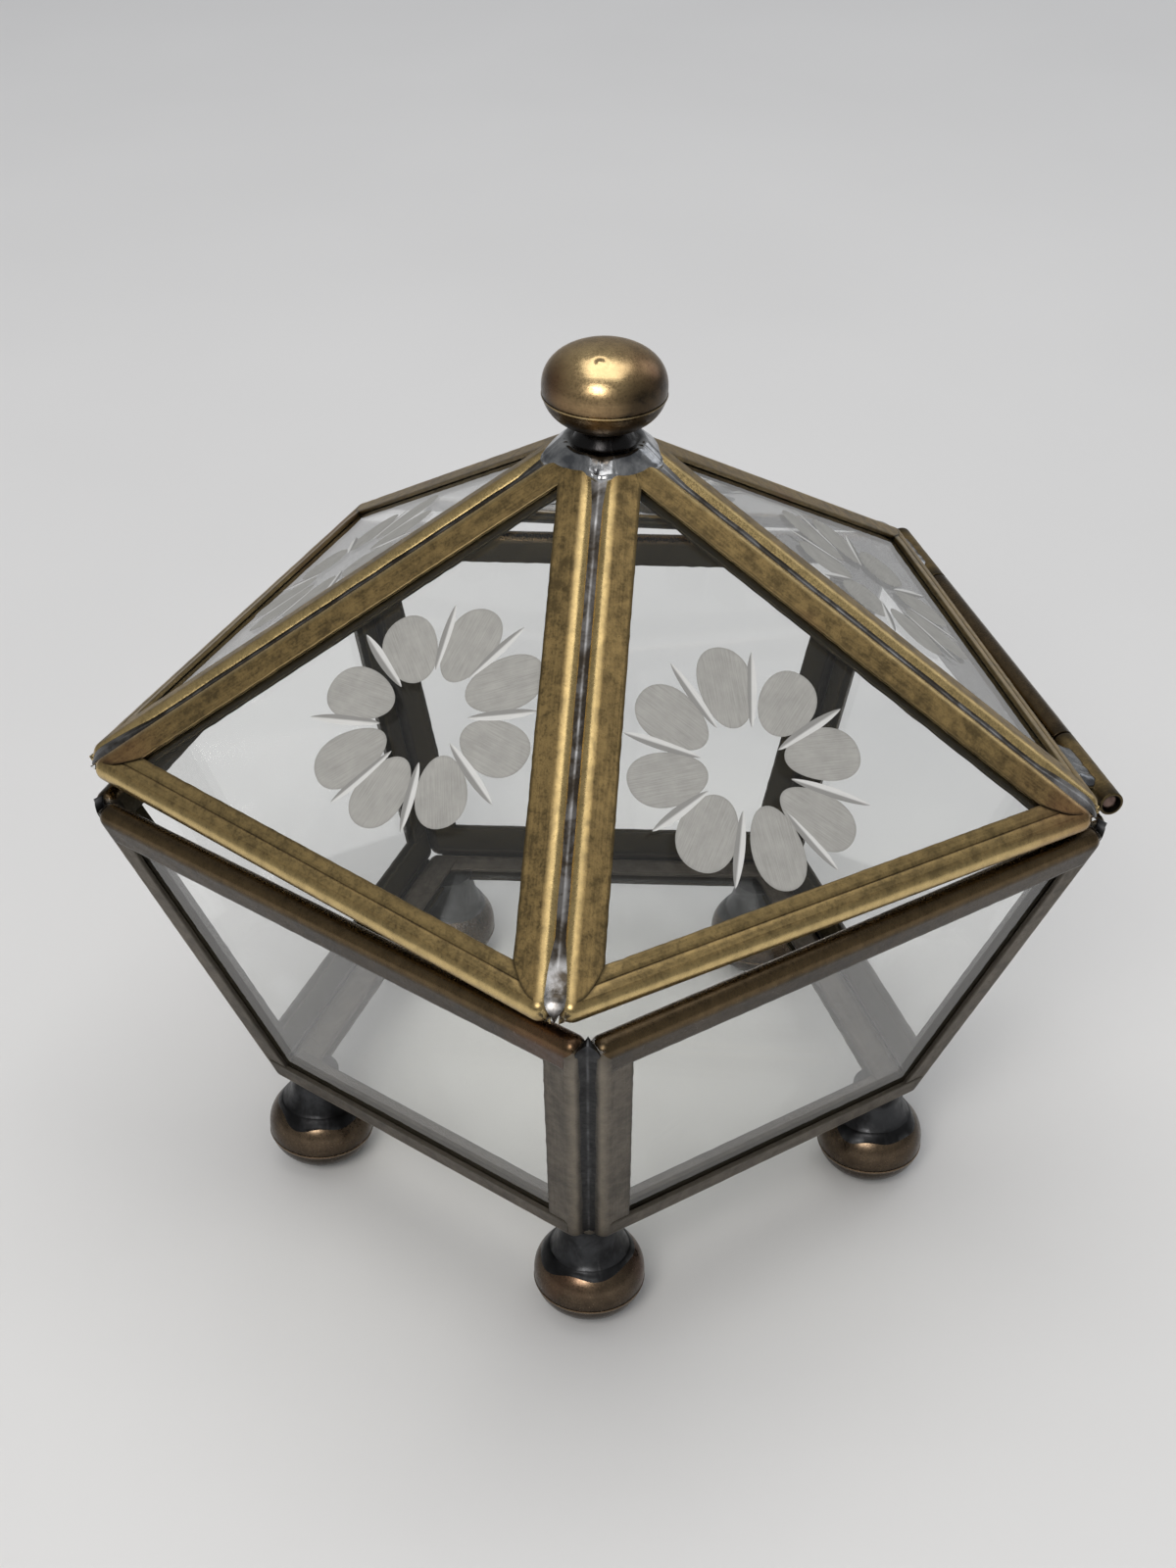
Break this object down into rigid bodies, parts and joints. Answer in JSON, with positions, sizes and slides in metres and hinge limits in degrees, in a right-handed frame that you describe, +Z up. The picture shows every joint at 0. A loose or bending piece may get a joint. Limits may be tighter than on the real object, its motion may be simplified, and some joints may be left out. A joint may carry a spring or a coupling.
{
  "type": "glass casket box",
  "caption": "Pentagonal casket box of clear glass panes in folded brass channel, with a hinged pyramid lid, wheel-cut flowers, a ball knob and ball feet.",
  "frame": {"origin": "on the table, under the middle of the whole box's outline seen from above", "axes": "+Z up, the hinge edge towards +Y, the hinge runs nearly along X; the corner opposite the hinge points to -Y"},
  "size_m": [0.1258, 0.1227, 0.1142],
  "materials": {
    "clear_glass": "clear polished sheet",
    "cut_glass": "clear sheet with matt wheel-cut petals and leaves",
    "lid_brass": "antique golden brown, rubbed satin",
    "body_brass": "dark grey-brown patina, brassy on the rounded back",
    "knob_brass": "pressed, warm copper-gold, semi-polished",
    "foot_brass": "pressed, dark bronze with rubbed copper highlights",
    "bright_solder": "silver-grey tin solder, softly rippled",
    "dark_solder": "blackened solder",
    "hinge_steel": "dull drawn wire"
  },
  "bodies": {
    "body": {"base_glass": "clear_glass", "base_channel": "body_brass", "side_glass_1": "clear_glass", "side_glass_2": "clear_glass", "side_glass_3": "clear_glass", "side_glass_4": "clear_glass", "side_glass_5": "clear_glass", "side_channel_1": "body_brass", "side_channel_2": "body_brass", "side_channel_3": "body_brass", "side_channel_4": "body_brass", "side_channel_5": "body_brass", "side_solder": "dark_solder", "base_solder": "dark_solder", "foot_upper_1": "foot_brass", "foot_upper_2": "foot_brass", "foot_upper_3": "foot_brass", "foot_upper_4": "foot_brass", "foot_upper_5": "foot_brass", "foot_lower_1": "foot_brass", "foot_lower_2": "foot_brass", "foot_lower_3": "foot_brass", "foot_lower_4": "foot_brass", "foot_lower_5": "foot_brass", "foot_solder": "dark_solder", "hinge_rod": "hinge_steel", "hinge_knuckle_body": "body_brass", "hinge_solder_body": "dark_solder"},
    "lid": {"lid_glass_1": "cut_glass", "lid_glass_2": "cut_glass", "lid_glass_3": "cut_glass", "lid_glass_4": "cut_glass", "lid_glass_5": "cut_glass", "lid_channel_1": "lid_brass", "lid_channel_2": "lid_brass", "lid_channel_3": "lid_brass", "lid_channel_4": "lid_brass", "lid_channel_5": "lid_brass", "lid_solder": "bright_solder", "crown_solder": "bright_solder", "knob_lower": "knob_brass", "knob_upper": "knob_brass", "hinge_knuckle_right": "lid_brass", "hinge_knuckle_left": "lid_brass", "hinge_solder_lid": "bright_solder"}
  },
  "joints": [
    {"name": "lid_hinge", "type": "hinge", "parent": "body", "child": "lid", "pos_m": [0.0003, 0.05879, 0.06295], "axis": [-0.9997, 0.0262, 0], "range_deg": [0, 192]}
  ]
}
